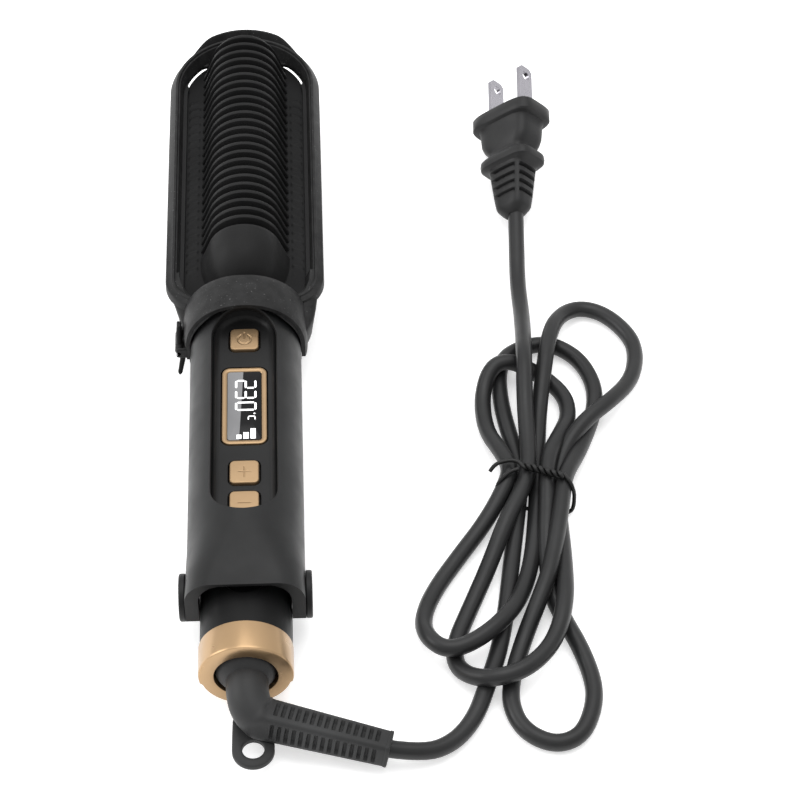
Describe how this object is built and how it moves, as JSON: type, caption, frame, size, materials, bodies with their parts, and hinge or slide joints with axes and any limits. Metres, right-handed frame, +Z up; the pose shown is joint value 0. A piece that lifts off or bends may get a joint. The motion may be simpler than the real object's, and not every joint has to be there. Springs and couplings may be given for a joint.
{
  "type": "heated straightening comb",
  "caption": "Corded two-arm hair straightening comb: handle with display and keys, heated finned ridge, hinged ring frame with latch, swivel cord and tied hank.",
  "frame": {"origin": "on the table, under the middle of the tool without its cord", "axes": "+Y along the handle from the cord end to the tip, +Z up through the control panel, +X to the right"},
  "size_m": [0.1511, 0.2901, 0.0368],
  "materials": {
    "gold_ring": "satin rose gold",
    "gold_keys": "satin rose gold",
    "black_housing": "fine matte",
    "frame_black": "fine matte, slightly textured",
    "liner_black": "satin",
    "panel_black": "gloss",
    "heat_black": "matte ceramic coating",
    "inner_plastic": "moulded",
    "display_glass": "polished",
    "board_green": "solder mask",
    "component_black": "moulded",
    "heater_metal": "plain",
    "mica": "pressed sheet",
    "carbon": "graphite",
    "contact_brass": "turned",
    "steel": "plain",
    "wire_insulation": "silicone",
    "boot_rubber": "moulded, satin",
    "cord_jacket": "extruded, satin",
    "tie_black": "plastic coated wire",
    "plug_plastic": "moulded",
    "blade_metal": "nickel plated"
  },
  "bodies": {
    "handle": {"end_ring": "gold_ring", "swivel_seat": "inner_plastic", "contact_brushes": "carbon", "upper_shell": "black_housing", "lower_shell": "black_housing", "head_shell": "black_housing", "shell_screws": "steel", "control_panel": "panel_black", "display_bezel": "gold_keys", "display_lens": "display_glass", "lcd_module": "inner_plastic", "circuit_board": "board_green", "tact_switches": "inner_plastic", "board_components": "component_black", "heat_plate": "heat_black", "comb_ridge": "heat_black", "heater_clamp": "steel", "heater_insulation": "mica", "ptc_heater": "heater_metal", "thermal_fuse": "heater_metal", "temperature_sensor": "display_glass", "opening_spring": "steel", "spring_screw": "steel", "supply_leads": "wire_insulation", "heater_leads": "wire_insulation"},
    "press_arm": {"arm_cover": "black_housing", "ring_frame": "frame_black", "frame_liner": "liner_black", "hinge_cap_left": "black_housing", "hinge_cap_right": "black_housing", "hinge_pin_left": "steel", "hinge_pin_right": "steel", "latch_pin": "steel"},
    "latch": {"latch_lever": "black_housing"},
    "power_key": {"power_button": "gold_keys"},
    "plus_key": {"plus_button": "gold_keys"},
    "minus_key": {"minus_button": "gold_keys"},
    "cord_swivel": {"cord_boot": "boot_rubber", "slip_rings": "contact_brass", "supply_lead": "cord_jacket", "cord_hank": "cord_jacket", "plug_lead": "cord_jacket", "cord_tie": "tie_black", "plug_body": "plug_plastic", "plug_blades": "blade_metal"}
  },
  "joints": [
    {"name": "arm_hinge", "type": "hinge", "parent": "handle", "child": "press_arm", "pos_m": [0, -0.10375, 0.015], "axis": [1, 0, 0], "range_deg": [0, 14]},
    {"name": "latch_pivot", "type": "hinge", "parent": "press_arm", "child": "latch", "pos_m": [-0.0212, -0.00185, 0.0145], "axis": [0, 1, 0], "range_deg": [0, 5], "stiffness_Nm_per_rad": 0.05},
    {"name": "power_press", "type": "slide", "parent": "handle", "child": "power_key", "axis": [0, 0, -1], "range_m": [0, 0.0008], "stiffness_N_per_m": 400},
    {"name": "plus_press", "type": "slide", "parent": "handle", "child": "plus_key", "axis": [0, 0, -1], "range_m": [0, 0.0008], "stiffness_N_per_m": 400},
    {"name": "minus_press", "type": "slide", "parent": "handle", "child": "minus_key", "axis": [0, 0, -1], "range_m": [0, 0.0008], "stiffness_N_per_m": 400},
    {"name": "cord_swivel_turn", "type": "hinge", "parent": "handle", "child": "cord_swivel", "pos_m": [0, -0.13175, 0.015], "axis": [0, 1, 0], "continuous": true}
  ]
}
